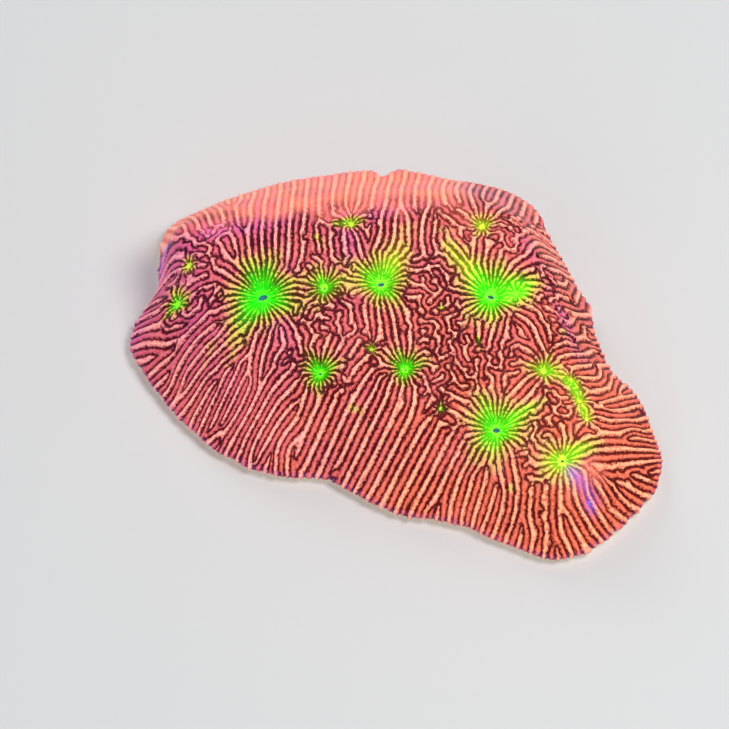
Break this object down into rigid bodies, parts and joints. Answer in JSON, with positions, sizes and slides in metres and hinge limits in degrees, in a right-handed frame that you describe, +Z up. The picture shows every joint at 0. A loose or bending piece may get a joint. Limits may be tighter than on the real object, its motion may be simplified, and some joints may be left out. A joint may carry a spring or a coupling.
{
  "type": "leptoseris coral colony",
  "caption": "Small domed colony of encrusting plate coral with fine radiating ribs and sunken polyp centres, cut off flat underneath so that it rests on a surface.",
  "frame": {"origin": "centre of the flat cut, at the middle of the colony's outline", "axes": "+X along the longest side, towards the low mound; +Y towards the high back edge; +Z up out of the cut"},
  "size_m": [0.0399, 0.0342, 0.0096],
  "materials": {
    "coral_tissue": "wet salmon-orange tissue with cream ribs, dark maroon grooves and bright green polyp centres over a pale stony skeleton"
  },
  "bodies": {
    "root": {"coral_colony": "coral_tissue"}
  },
  "joints": []
}
